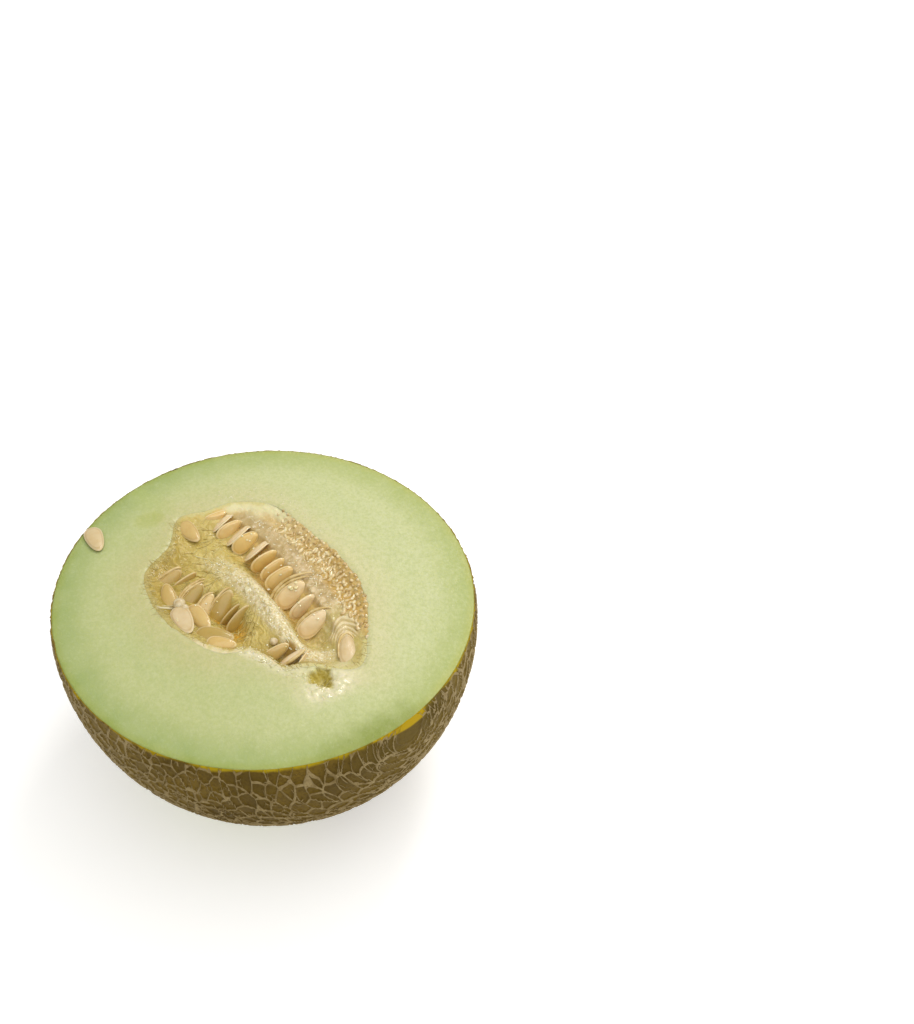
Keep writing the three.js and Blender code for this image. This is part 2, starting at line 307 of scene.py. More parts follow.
def with_relief(obj, offset_of):
    """Moves the points of an object's mesh by what nodes make of their place, in metres."""
    tree = bpy.data.node_groups.new(obj.name + "_relief", "GeometryNodeTree")
    for direction in ("INPUT", "OUTPUT"):
        tree.interface.new_socket("Geometry", in_out=direction, socket_type="NodeSocketGeometry")
    start = Wire(tree).node("NodeGroupInput")
    place = start.node("GeometryNodeInputPosition").scaled(1 / mm)
    moved = start.node("GeometryNodeSetPosition", None, {
        "Geometry": start, "Offset": offset_of(place)})
    moved.node("NodeGroupOutput", None, {0: moved})
    modifier = obj.modifiers.new("relief", "NODES")
    modifier.node_group = tree
    shown = obj.evaluated_get(bpy.context.evaluated_depsgraph_get())
    mesh = bpy.data.meshes.new_from_object(shown)
    obj.modifiers.clear()
    obj.data = mesh


def mask_of(wire, name):
    """A number that the mesh holds at each point, in a Geometry Nodes tree."""
    return wire.node("GeometryNodeInputNamedAttribute", {"data_type": "FLOAT"}, {"Name": name})


def across_of(place):
    """How far to the right of the camera's view a place lies, in millimetres."""
    x, y, _ = place.parts()
    return x * 0.316 + y * 0.949


def rind_offset(place):
    outward = place.vector("SUBTRACT", fruit_middle / mm).vector("NORMALIZE")
    off_floor = place.parts()[2].rise(0.2, 4)
    return outward.scaled(net_height(place) * off_floor * net_rise * mask_of(place, "skin"))


rind_bm = bmesh.new()
bmesh.ops.create_icosphere(rind_bm, subdivisions=8, radius=1)
bmesh.ops.scale(rind_bm, vec=fruit_radii - Vector((skin_depth,) * 3), verts=rind_bm.verts)
bmesh.ops.translate(rind_bm, vec=fruit_middle, verts=rind_bm.verts)
bmesh.ops.bisect_plane(
    rind_bm, geom=rind_bm.verts[:] + rind_bm.edges[:] + rind_bm.faces[:], dist=0.02 * mm,
    plane_co=(0, 0, face_height), plane_no=(0, 0, 1), clear_outer=True)
skin_mask = rind_bm.verts.layers.float.new("skin")
for vert in rind_bm.verts:
    vert[skin_mask] = 1
    vert.co.z = max(vert.co.z, 0)
inner_wall = ((cut_skin, 0.05 * mm), (2 * mm, 5 * mm), (3 * mm, 25 * mm), (20 * mm, 45 * mm),
              (60 * mm, 64 * mm))
edge = [e for e in rind_bm.edges if e.is_boundary]
for inward, down in inner_wall:
    grown = bmesh.ops.extrude_edge_only(rind_bm, edges=edge)["geom"]
    edge = [e for e in grown if isinstance(e, bmesh.types.BMEdge)]
    ring = [v for v in grown if isinstance(v, bmesh.types.BMVert)]
    lowest_share = math.sqrt(1 - ((cut_above_middle - down) / fruit_radii.z) ** 2) / rim_share
    for vert in ring:
        flat = Vector((vert.co.x, vert.co.y)).normalized()
        reach = rim_share * lowest_share * Vector((flat.x * fruit_radii.x, flat.y * fruit_radii.y))
        vert[skin_mask] = 0
        vert.co.x, vert.co.y = flat * max(reach.length - skin_depth - inward, 0.01 * mm)
        vert.co.z = face_height - down
bmesh.ops.remove_doubles(rind_bm, verts=rind_bm.verts, dist=0.03 * mm)
bmesh.ops.recalc_face_normals(rind_bm, faces=rind_bm.faces)
for face in rind_bm.faces:
    if face.calc_center_median().z > face_height - 0.1 * mm and face.normal.z > 0.9:
        face.material_index = 1
rind = new_object("rind", mesh_of(rind_bm, "rind"))
with_relief(rind, rind_offset)

rind_paint, rind_shader, rind_place = new_material(
    "netted_rind", Specular_IOR_Level=0.05)
net = net_height(rind_place)
side_x, side_y, rind_z = rind_place.parts()
below_face = rind_z - face_height / mm
# Painted light: skin and cork are paler towards the left and right of the camera's view, where the
# sides of the fruit catch more light.
lit_sides = (across_of(rind_place) + 6).math("ABSOLUTE").rise(14, 58)
near_knife = (below_face + (rind_place.noise(7, 3) - 0.5) * 5).rise(-1.2, 0.4)
end_olive = end_share(rind_place)[2].rise(0.95, 0.99) * below_face.rise(-14, -6)
patch_depth = side_y.rise(-1, 14) * 2.6 + 0.4
end_patch = (below_face + patch_depth).rise(-0.4, 0.5) * side_x.rise(40, 55)
end_patch = end_patch * side_y.rise(19, 17.5) * side_y.rise(-1, 1)
# Painted shade: a darker line at the foot of each ridge of the net, where the ridge shades the skin.
net_foot_shade = net.rise(0.02, 0.2) * net.rise(0.6, 0.25)
# Painted shade: skin and cork tones are darker than the rind's own yellow gold, for the shade its sides
# lie in; near_knife keeps the skin's own yellow at the top.
skin_tone = coated(
    rind_place.noise(16, 3).rise(0.3, 0.7).mix((110, 88, 28), (86, 68, 20)),
    (lit_sides * 0.6, (132, 112, 56)),
    (rind_place.noise(0.9, 3).rise(0.42, 0.72) * 0.6, (70, 52, 16)),
    (near_knife, (166, 142, 18)),
    (end_olive * 0.7, (90, 74, 26)),
    (end_patch, (176, 146, 14)),
    (net_foot_shade * 0.3, (64, 46, 16)))
cork_tone = coated(
    rind_place.noise(3.4, 4).rise(0.3, 0.7).mix((150, 132, 92), (122, 104, 66)),
    (lit_sides * 0.6, (168, 150, 112)),
    (rind_place.noise(0.5, 2).rise(0.5, 0.8), (108, 88, 48)))
net.rise(0.25, 0.6).mix(skin_tone, cork_tone).into(rind_shader, "Base Color")
(0.55 + net.rise(0.3, 0.7) * 0.25).into(rind_shader, "Roughness")
bump(net + rind_place.noise(0.45, 3) * 0.3, 0.3 * mm, rind_shader, 0.7)
cut_paint, cut_shader, cut_place = new_material("cut_skin", Roughness=0.4, Coat_Weight=0.2)
cut_tone = cut_place.noise(5, 3).rise(0.35, 0.65).mix((186, 172, 48), (166, 164, 62))
cut_tone.into(cut_shader, "Base Color")
rind.data.materials.clear()
rind.data.materials.append(rind_paint)
rind.data.materials.append(cut_paint)
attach(rind, "root")
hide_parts("melon_flesh")


# The flesh: one body of wet, pale green flesh, cream round the hollow and deep green under the
# skin. The knife left its face flat, and the spoon of the hollow and a torn pit go down in it.
hollow_edge = (
    (35.6, -2.4), (43.5, 9.5), (33, 18), (18, 25), (0, 26), (-17, 22.5), (-33, 18.5), (-41.5, 9),
    (-43, -3), (-44, -11.5), (-33, -19), (-25, -30), (-10, -32.5), (4, -29.5),
    (17, -23), (22, -14.5), (33, -9),
)
hollow_middle = np.array((0, -3))
hollow_depth = 36
crater_place = np.array((41.2, -1.5))
crater_radii = (3.9, 3.3)
crater_depth = 4.5
lip_width = 2.2
lip_depth = 0.4
around = 480


def smooth_loop(points, steps=24):
    """Points on a smooth closed curve through points, closer where they are close."""
    corners = np.array(points, float)
    shares = np.linspace(0, 1, steps, endpoint=False)[:, None]
    pieces = []
    for i in range(len(corners)):
        p0, p1, p2, p3 = (corners[(i + k) % len(corners)] for k in (-1, 0, 1, 2))
        d0, d1, d2 = (np.linalg.norm(b - a) ** 0.5 for a, b in ((p0, p1), (p1, p2), (p2, p3)))
        leave = ((p1 - p0) / d0 - (p2 - p0) / (d0 + d1) + (p2 - p1) / d1) * d1
        reach = ((p2 - p1) / d1 - (p3 - p1) / (d1 + d2) + (p3 - p2) / d2) * d1
        square = -3 * p1 + 3 * p2 - 2 * leave - reach
        cube = 2 * p1 - 2 * p2 + leave + reach
        pieces.append(p1 + leave * shares + square * shares ** 2 + cube * shares ** 3)
    return np.concatenate(pieces)


def smooth_line(points):
    """The y of a smooth open line through points, for any x."""
    p = np.array([points[0], *points, points[-1]], float)
    t = np.linspace(0, 1, 30)[:, None]
    pieces = []
    for i in range(1, len(p) - 2):
        leave, reach = (p[i + 1] - p[i - 1]) / 2, (p[i + 2] - p[i]) / 2
        pieces.append((2 * p[i] - 2 * p[i + 1] + leave + reach) * t ** 3
                      + (-3 * p[i] + 3 * p[i + 1] - 2 * leave - reach) * t ** 2 + leave * t + p[i])
    line = np.concatenate(pieces)
    return lambda x: np.interp(x, line[:, 0], line[:, 1])


def step(value, low, high):
    """0 below low and 1 above high, smooth between. It falls where low is the greater."""
    share = np.clip((value - low) / (high - low), 0, 1)
    return share * share * (3 - 2 * share)


def bell(offset, half_width):
    """1 at no offset, falling smoothly to 0 at the half width."""
    return (1 - np.clip(np.abs(offset) / half_width, 0, 1) ** 2) ** 2


edge_loop = smooth_loop(hollow_edge) - hollow_middle
edge_angles = np.arctan2(edge_loop[:, 1], edge_loop[:, 0])
edge_order = np.argsort(edge_angles)


def edge_reach(angle):
    """From the middle of the hollow to its edge, in a direction."""
    return np.interp(angle, edge_angles[edge_order],
                     np.linalg.norm(edge_loop, axis=1)[edge_order], period=2 * math.pi)


def round_middle(x, y):
    """The direction and the distance of a place from the middle of the hollow."""
    x, y = x - hollow_middle[0], y - hollow_middle[1]
    return np.arctan2(y, x), np.hypot(x, y)


def rim_reach(angle, inset):
    """From the middle of the hollow to the rim of the cut face, less an inset."""
    a = fruit_radii.x / mm * rim_share - inset
    b = fruit_radii.y / mm * rim_share - inset
    cos, sin = np.cos(angle), np.sin(angle)
    square = (cos / a) ** 2 + (sin / b) ** 2
    slope = (hollow_middle[0] * cos / a ** 2 + hollow_middle[1] * sin / b ** 2)
    rest = (hollow_middle[0] / a) ** 2 + (hollow_middle[1] / b) ** 2 - 1
    return (-slope + np.sqrt(slope ** 2 - square * rest)) / square


def ring_body(name, rings):
    """A closed body from rings of points in millimetres below the cut face. A grid is wrapped
    round them, and its seam and its two ends are closed."""
    rings = np.array(rings)
    rows, columns = rings.shape[:2]
    bm = bmesh.new()
    bmesh.ops.create_grid(bm, x_segments=columns, y_segments=rows - 1, size=0.5)
    for vert in bm.verts:
        column = round((vert.co.x + 0.5) * columns) % columns
        row = round((vert.co.y + 0.5) * (rows - 1))
        x, y, depth = rings[row, column]
        vert.co = (x * mm, y * mm, face_height - depth * mm)
    bmesh.ops.remove_doubles(bm, verts=bm.verts, dist=0.002 * mm)
    bmesh.ops.recalc_face_normals(bm, faces=bm.faces)
    return new_object(name, mesh_of(bm, name))


def places_of(mesh):
    """The x and y of a mesh's points in millimetres, and their depth below the cut face."""
    places = np.empty(len(mesh.vertices) * 3)
    mesh.vertices.foreach_get("co", places)
    x, y, z = places.reshape(-1, 3).T / mm
    return x, y, face_height / mm - z


def keep_mask(mesh, name, values):
    """Stores a number for each point of a mesh, for its material and its relief."""
    mesh.attributes.new(name, "FLOAT", "POINT").data.foreach_set("value", values)


def stored(wire, name):
    """A number that the mesh holds at each point, in a material."""
    return wire.node("ShaderNodeAttribute", {"attribute_name": name}, None, "Fac")


angles = np.linspace(0, 2 * math.pi, around, endpoint=False)
edge_at = edge_reach(angles)
rim_at = rim_reach(angles, (skin_depth + cut_skin) / mm - 0.3)
toward = np.stack([np.cos(angles), np.sin(angles)], 1)


def flat_ring(reach, depth):
    """A ring round the middle of the hollow, by its reach and its depth in each direction."""
    spots = toward * np.broadcast_to(reach, around)[:, None] + hollow_middle
    return np.column_stack([spots, np.broadcast_to(depth, around)])


def pit_reach(x, y):
    """How far out of the torn pit a place is: 0 in its middle and 1 on its ragged edge."""
    out_x, out_y = (x - crater_place[0]) / crater_radii[0], (y - crater_place[1]) / crater_radii[1]
    turn = np.arctan2(out_y, out_x)
    ragged = 1 + 0.16 * np.sin(3 * turn + 1) + 0.1 * np.sin(7 * turn)
    return np.hypot(out_x, out_y) / ragged


flesh_rings = []
for turn in np.linspace(0, math.pi / 2, 22)[:-1]:
    flesh_rings.append(flat_ring(edge_at * math.sin(turn), hollow_depth * math.cos(turn)))
for share in np.linspace(0, 1, 96) ** 1.35:
    out = (rim_at - edge_at) * share
    sunk = lip_depth * np.clip(1 - out / lip_width, 0, 1) ** 2
    ring = flat_ring(edge_at + out, sunk)
    ring[:, 2] += crater_depth * bell(pit_reach(ring[:, 0], ring[:, 1]), 1.25)
    flesh_rings.append(ring)
for down in np.linspace(0, 1, 14)[1:]:
    low = down * (face_height - 2 * mm) / mm
    height = (low * mm - cut_above_middle) / fruit_radii.z
    width = math.sqrt(max(1 - height ** 2, 0)) / rim_share if down < 1 else 0
    flesh_rings.append(flat_ring(rim_reach(angles, 2.2) * width, low))
flesh = ring_body("flesh", flesh_rings)

flesh_x, flesh_y, flesh_sunk = places_of(flesh.data)
flesh_angle, flesh_far = round_middle(flesh_x, flesh_y)
keep_mask(flesh.data, "from_hollow", np.clip(flesh_far - edge_reach(flesh_angle), -5, 60))
keep_mask(flesh.data, "from_rim", rim_reach(flesh_angle, skin_depth / mm) - flesh_far)
torn = bell(flesh_y + 11 - 0.5 * (flesh_x - 27), 5.5) * bell(flesh_x - 24, 19)
torn = np.maximum(torn, bell(flesh_x - 45, 8) * bell(flesh_y + 1, 13))
keep_mask(flesh.data, "torn", torn * (flesh_sunk < 6))
keep_mask(flesh.data, "pit", step(pit_reach(flesh_x, flesh_y), 1.2, 0.8) * (flesh_sunk < 6))


def round_spot(place, middle, radii):
    """How far out of an oval spot a place is, squared: 0 in its middle and 1 on its edge."""
    x, y, _ = place.parts()
    x, y = (x - middle[0]) / radii[0], (y - middle[1]) / radii[1]
    return x * x + y * y


def flesh_offset(place):
    crests = place.vector("ADD", place.swirl(0.3).scaled(5)).noise(2.6, 2, 0.55)
    ragged = 0.5 - ((crests - 0.5) * 5).math("ABSOLUTE")
    waves = place.noise(7, 2) - 0.5
    facing = place.node("GeometryNodeInputNormal").parts()[2].rise(0.2, 0.6)
    torn = mask_of(place, "torn") + mask_of(place, "pit") * 0.7
    lift = (waves * 0.25 + (place.noise(2.0, 3, 0.6) - 0.5) * 0.05 + ragged * torn * 0.8) * facing
    return lift.node("ShaderNodeCombineXYZ", None, {2: lift * mm})


with_relief(flesh, flesh_offset)
flesh_paint, flesh_shader, flesh_place = new_material(
    "wet_flesh", Subsurface_Weight=0.35, Subsurface_Radius=(1.0, 0.9, 0.45),
    Subsurface_Scale=2.2 * mm, Coat_Roughness=0.12, IOR=1.36)
from_hollow = stored(flesh_place, "from_hollow") + (flesh_place.noise(6, 3) - 0.5) * 5
from_rim = stored(flesh_place, "from_rim") + (flesh_place.noise(5, 3) - 0.5) * 1.6
torn_mask = stored(flesh_place, "torn")
across_x, across_y, _ = flesh_place.parts()
# Painted light: the flesh is paler towards the far side of the face and darker towards the near left,
# as the light falls on it.
lit_far_side = (across_y + across_x * 0.2).rise(-42, 44)
core_spot = (blossom_end.x / mm, blossom_end.y / mm - 10, 0)
from_core = flesh_place.vector("SUBTRACT", core_spot).vector("MULTIPLY", (1, 0.3, 0)).length()
core_green = (from_core + (flesh_place.noise(3, 3) - 0.5) * 6).rise(9, 1)
left_x, left_y = across_x + 55, across_y + 16
left_streak = (left_x * 0.35 - left_y + (flesh_place.noise(6, 2) - 0.5) * 5).math("ABSOLUTE")
left_green = left_streak.rise(6, 0.5) * across_x.rise(-42, -56)
moist_spot = round_spot(flesh_place, (-48, -20), (5, 6)).rise(1, 0.1)
grain = flesh_place.noise(1.1, 4, 0.65)
wet_cream = (torn_mask * 1.5).math("MINIMUM", 1) * (
    0.4 + flesh_place.noise(1.6, 3).rise(0.35, 0.6) * 0.5)
pit_tone = flesh_place.noise(1.4, 3).rise(0.35, 0.65).mix((172, 152, 56), (204, 188, 104))
flesh_tone = coated(
    lit_far_side.mix((184, 190, 132), (199, 203, 150)),
    (from_hollow.rise(16, 0) * 0.85, lit_far_side.mix((193, 185, 131), (213, 206, 159))),
    (from_rim.rise(15, 1.5), lit_far_side.mix((153, 169, 103), (173, 183, 112))),
    (from_rim.rise(3.4, 0.2) * 0.85, lit_far_side.mix((142, 156, 62), (176, 180, 92))),
    (core_green * 0.85, (128, 142, 50)),
    (left_green * 0.5, (170, 182, 106)),
    (moist_spot * 0.6, (166, 172, 84)),
    (flesh_place.noise(9, 4, 0.6).rise(0.3, 0.7) * 0.2, (202, 204, 154)),
    (grain.rise(0.4, 0.7) * 0.34, (164, 176, 104)),
    (grain.rise(0.5, 0.3) * 0.12, (216, 218, 176)),
    (wet_cream, (232, 222, 186)),
    (stored(flesh_place, "pit"), pit_tone))
flesh_tone.into(flesh_shader, "Base Color")
(0.12 + torn_mask.rise(0.1, 0.6) * 0.6).into(flesh_shader, "Coat Weight")
(0.3 + flesh_place.noise(1.1, 3).rise(0.35, 0.7) * 0.2).into(flesh_shader, "Roughness")
bump(flesh_place.noise(0.8, 4, 0.65) + flesh_place.noise(3, 2) * 0.8, 0.22 * mm, flesh_shader, 0.7)
flesh.data.materials.append(flesh_paint)
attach(flesh, "root")
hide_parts("melon_flesh")


# The seeds: flat, wet and smooth, round at one end and pointed at the other. They stand side by
# side like cards in the pulp, with their points up and back, and a few lie turned over in front.
seed_length, seed_width, seed_thickness = 12.4, 5.7, 2.0
seed_taper = 0.26
upper_row = smooth_line(((-39.5, 0.4), (-26.5, 4.3), (-10.6, 7), (2, 8), (17, 8.2)))
row_heading, row_climb, row_in_front = 92, 26, 0.6
row_seeds = (
    (-39.3, 1.3, 58, 0.74, 0.2), (-36.2, 1.8, 152, 0.76, 1), (-32.6, 2.4, 66, 0.84, 0.25),
    (-28.4, 2.5, 148, 0.86, 1), (-24.4, 2.6, 46, 0.9, 0), (-18.6, 2.4, 148, 0.88, 1),
    (-13.6, 3.0, 78, 0.94, 0), (-8.6, 3.2, 70, 0.9, 0.1), (-4.0, 3.2, 54, 0.96, 0.1),
    (3.8, 3.5, 40, 1.06, 0.7), (10.8, 3.2, 78, 0.94, 0.85), (18.4, 3.8, 42, 1.0, 0.9),
)
# A seed's shade is painted shade: it darkens the seeds that lie in front of the row and the stray seed.
seed_states = ("x", "y", "depth", "heading", "rise", "lean", "size", "pale", "olive", "shade")
loose_seeds = [dict(zip(seed_states, row)) for row in (
    (-20.6, -24.2, 3.1, 101, 23, 45, 0.84, 0, 0.7, 0.2),
    (-18.7, -20, 4, 92, 24, 98, 0.8, 0.1, 0.5, 0.1),
    (-13, -26.9, 2.1, 168, 15, 0, 0.86, 0, 0.4, 0.3),
    (-11.8, -19.8, 4.6, 114, 22, 36, 0.82, 0, 1, 0.2),
    (-5.9, -18.2, 5, 120, 30, 30, 0.78, 0.4, 0.3, 0),
    (-3.6, -13.8, 5.6, 117, 36, 32, 1.02, 0, 1, 0.1),
    (-0.2, -12.6, 6.8, 92, 45, 100, 0.82, 0, 0.8, 0.1),
    (3.4, -11.2, 5.9, 106, 35, 70, 0.88, 0, 1, 0.15),
    (-1.2, -22.1, 2.9, 10, 1, 16, 0.98, 0.25, 0.3, 0.05),
    (-0.9, -26.8, 0.9, -1, 2, 4, 1.02, 1, 0, 0.3),
    (8.4, -20.8, 2.7, 53, -4, 14, 0.96, 0, 1, 0.15),
    (13.2, -20.5, 1.7, 54, -3, 22, 0.74, 0.1, 0.2, 0.1),
    (-37.6, -10.6, 1.5, 9, -2, 8, 0.96, 0.1, 0.1, 0.3),
    (35.2, 10.4, 1.9, 158, 6, 6, 0.98, 0.9, 0, 0.3),
    (23.0, -7.4, 3.9, 88, 20, 56, 0.7, 0.4, 0.6, 0),
    (28, -4.6, 2.7, 84, 22, 150, 0.72, 1, 0, 0),
    (30.4, -2.2, 2.9, 118, 14, 100, 0.6, 0.8, 0, 0),
)]


def draws(state):
    """Repeatable random numbers from -1 to 1."""
    while True:
        state = (state * 1664525 + 1013904223) % 4294967296
        yield state / 2147483648 - 1


def row_of_seeds():
    """Where the seeds of the upper row stand. Their draws follow one another in a fixed order."""
    draw = draws(11)
    for x, depth, lean, size, pale in row_seeds:
        yield dict(
            x=x,
            y=float(upper_row(x)) - row_in_front + 0.4 * next(draw),
            depth=depth,
            heading=row_heading + 5 * next(draw),
            rise=row_climb + 3 * next(draw),
            lean=lean, size=size, pale=pale, olive=0, shade=0,
        )


def seed_blank():
    """One seed along X in millimetres, with its point towards +X and its flat sides up and down."""
    bm = bmesh.new()
    bmesh.ops.create_uvsphere(bm, u_segments=40, v_segments=20, radius=1)
    margin = bm.verts.layers.float.new("margin")
    for vert in bm.verts:
        x, y, z = vert.co
        reach = math.hypot(x, y)
        swell = 0.86 * max(1 - reach ** 2.4, 0) ** 0.85 + 0.17 * max(1 - reach ** 7, 0) ** 0.5
        fuller = ((1 - abs(x) ** 2.7 + 1e-6) / (1 - x * x + 1e-6)) ** 0.5
        narrow = (1 - seed_taper * x) * (1 + (fuller - 1) * (1 if x < 0 else 0.8))
        vert[margin] = reach
        vert.co = (x * seed_length / 2, y * narrow * seed_width / 2,
                   math.copysign(swell, z) * seed_thickness / 2)
    return mesh_of(bm, "seed_blank")


def seed_matrix(seed):
    """Puts a seed in place: its point heads this way, rises so much, and it leans on its length."""
    turns = Euler([math.radians(a) for a in (seed["lean"], -seed["rise"], seed["heading"])], "XYZ")
    spot = Matrix.Translation((seed["x"] * mm, seed["y"] * mm, face_height - seed["depth"] * mm))
    return spot @ turns.to_matrix().to_4x4() @ Matrix.Scale(mm * seed["size"], 4)


blank = seed_blank()
blank_points = len(blank.vertices)
rng = random.Random(4)
placed_seeds = [*row_of_seeds(), *loose_seeds]
seeds_bm = bmesh.new()
tone_layers = {name: seeds_bm.verts.layers.float.new(name) for name in ("pale", "olive", "shade")}
for number, seed in enumerate(placed_seeds):
    seeds_bm.from_mesh(blank)
    seeds_bm.verts.ensure_lookup_table()
    fresh = seeds_bm.verts[-blank_points:]
    bmesh.ops.transform(seeds_bm, matrix=seed_matrix(seed), verts=fresh)
    for vert in fresh:
        for name, layer in tone_layers.items():
            vert[layer] = seed[name]
        beyond = vert.co.y / mm - float(upper_row(vert.co.x / mm))
        under_film = float(step(beyond, 2.0, 4.2)) if number < len(row_seeds) else 0.0
        over = vert.co.z - (face_height - (0.5 + 0.9 * under_film) * mm)
        if over > 0:
            vert.co.z -= over * (0.7 + 0.25 * under_film)
seeds = new_object("seeds", mesh_of(seeds_bm, "seeds"))


def seed_material(name):
    """Wet seed coat: a paler margin, faint lines along it, a tone that each seed has, and painted
    shade.
    """
    made, shader, place = new_material(
        name, Subsurface_Weight=0.25, Subsurface_Radius=(1.0, 0.72, 0.42),
        Subsurface_Scale=1.0 * mm, Coat_Roughness=0.06, IOR=1.45)
    pale, olive, shade, margin = (
        stored(place, name) for name in ("pale", "olive", "shade", "margin"))
    coated(
        pale.mix((224, 190, 112), (235, 213, 170)),
        (olive, (182, 154, 70)),
        (place.noise(2.6, 3).rise(0.35, 0.7) * 0.3, (206, 168, 92)),
        (margin.rise(0.74, 0.82) * margin.rise(0.92, 0.84) * 0.3, (176, 140, 72)),
        (margin.rise(0.84, 0.97) * 0.5, (238, 220, 176)),
        (shade, (150, 130, 86))).into(shader, "Base Color")
    (0.7 - shade * 2).math("MAXIMUM", 0.1).into(shader, "Coat Weight")
    (0.3 + place.noise(1.5, 2).rise(0.4, 0.7) * 0.16).into(shader, "Roughness")
    bump(place.noise(1.2, 3), 0.12 * mm, shader, 0.6)
    return made


seed_paint = seed_material("wet_seed")
seeds.data.materials.append(seed_paint)
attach(seeds, "root")
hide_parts("seed_heart")


# The seed pulp: wet jelly and fibres that fill the hollow. A pale strand crosses it, a channel
# runs along each row of seeds, a thin film lies behind them and a golden band along the far edge.
fill_level = 3.2
edge_level = 0.4
lower_row = smooth_line(((-27, -24), (-16, -18.6), (-6, -12.9), (2, -10.5)))
strand_line = smooth_line((
    (-26, -11), (-17, -7.7), (-6, -3.8), (7.5, -2.1), (19, -2.2), (27, -1), (36, 5)))
row_channels = ((upper_row, 3.8, 5.4, 5.6, 0, 44), (lower_row, 3.5, 5.5, 6.5, 1, 20))
pockets = ((-33, 10, 0.6, 10, 10), (27, -6, 4.5, 8, 5), (22, 5.5, 2.2, 8, 7), (30, 9, -1.4, 7, 7))
pulp_overlap = 1.015
film_rise = 2.4
end_seed = 25
layer_gap = 0.92


def channels(x, y):
    """How much deeper the pulp lies in the channels and pockets than elsewhere."""
    deeper = 0
    for line, in_front, depth, width, middle, length in row_channels:
        deeper = deeper + depth * bell(y - line(x) + in_front, width) * bell(x - middle, length)
    for middle_x, middle_y, depth, length, width in pockets:
        deeper = deeper + depth * bell(x - middle_x, length) * bell(y - middle_y, width)
    return deeper


def film_share(x, y):
    """Where the thin film covers the upper ends of the seeds of the upper row."""
    beyond = y - upper_row(x)
    return step(beyond, 1.6, 3.6) * step(beyond, 15, 9) * step(x, -42, -34) * step(x, 30, 22)


def band_share(x, y):
    """Where the golden band with its many seed tips lies."""
    return step(y - upper_row(x), 7.5, 10) * step(x, -36, -29) * step(y, 5, 9)


def strand_share(x, y):
    wide = np.interp(x, (8, 19, 24, 31), (1, 0.62, 0.8, 1.3))
    return (step(np.abs(y - strand_line(x)), 5.4 * wide, 2.4 * wide)
            * step(x, -28, -18) * step(x, 40, 30))


def seeds_near(x, y):
    """Where a seed stands in the pulp, seen from above: 1 beside it, 0 a few millimetres off."""
    near = np.zeros_like(x)
    for seed in placed_seeds:
        heading = math.radians(seed["heading"])
        reach = seed_length / 2 * seed["size"] * math.cos(math.radians(seed["rise"]))
        off_x, off_y = x - seed["x"], y - seed["y"]
        along = off_x * math.cos(heading) + off_y * math.sin(heading)
        aside = off_y * math.cos(heading) - off_x * math.sin(heading)
        past = np.maximum(np.abs(along) - reach, 0)
        near = np.maximum(near, step(np.hypot(past, aside), 4.5, 2))
    return near


def onion_rings(x, y):
    """Layers of seed skin, like those of an onion, above and left of the seed at the right end:
    where they show, and how high they stand."""
    seed = placed_seeds[end_seed]
    heading = math.radians(seed["heading"])
    off_x, off_y = x - seed["x"], y - seed["y"]
    along = (off_x * math.cos(heading) + off_y * math.sin(heading)) / (seed_length / 2)
    aside = (off_y * math.cos(heading) - off_x * math.sin(heading)) / (seed_width / 2)
    out = (np.hypot(along, aside) - 1) * 3.4 + 0.08 * np.sin(x * 1.3) + 0.06 * np.sin(y * 2.1 + 1)
    turn = np.degrees(np.arctan2(aside, along))
    shown = step(turn, -70, -40) * step(turn, 78, 52) * step(out, 0.1, 0.6) * step(out, 4.4, 3.6)
    return shown, shown * (0.5 + 0.5 * np.cos(2 * math.pi * (out - 0.7) / layer_gap))


def pulp_depth(x, y):
    """How far the pulp lies below the cut face, in millimetres."""
    strand = 2.4 * bell(y - strand_line(x), 5.6) * bell(x - 4, 34)
    deep = fill_level + channels(x, y) - strand - film_rise * film_share(x, y)
    angle, far = round_middle(x, y)
    near_edge = step(far / edge_reach(angle), 0.76, 1)
    return deep + (edge_level - deep) * near_edge


pulp_rings = []
for turn in np.linspace(0, math.pi / 2, 12)[:-1]:
    deep = (hollow_depth - 0.3) * math.cos(turn)
    pulp_rings.append(flat_ring(edge_at * math.sin(turn) * 0.97, max(deep, 12)))
for share in np.linspace(pulp_overlap, 0, 150):
    ring = flat_ring(edge_at * share, 0)
    ring[:, 2] = pulp_depth(ring[:, 0], ring[:, 1])
    pulp_rings.append(ring)
pulp = ring_body("pulp", pulp_rings)

pulp_x, pulp_y, pulp_sunk = places_of(pulp.data)
pulp_angle, pulp_far = round_middle(pulp_x, pulp_y)
from_edge = edge_reach(pulp_angle) - pulp_far
pulp_turn = np.degrees(pulp_angle)
far_left = step(pulp_turn, 134, 142) * step(pulp_turn, 174, 168)
bare = np.maximum(bell(pulp_x + 37, 9) * bell(pulp_y - 14, 7), step(from_edge, 5.5, 2.5) * far_left)
bare = np.maximum(bare, 0.7 * bell(pulp_x - 39.5, 4) * bell(pulp_y - 6, 5))
layered, layers = onion_rings(pulp_x, pulp_y)
pulp_masks = {
    "sunk": pulp_sunk,
    "film": film_share(pulp_x, pulp_y),
    "band": band_share(pulp_x, pulp_y),
    "web": step(pulp_y - upper_row(pulp_x), -2.5, 1) * step(pulp_x, 26, 18),
    "seeds": seeds_near(pulp_x, pulp_y),
    "strand": strand_share(pulp_x, pulp_y),
    "edge": step(from_edge, 4.5, 0.2) * (1 - band_share(pulp_x, pulp_y)),
    "bare": bare,
    "layered": layered * (pulp_sunk < 8),
    "layers": layers * (pulp_sunk < 8),
}
for name, values in pulp_masks.items():
    keep_mask(pulp.data, name, values)


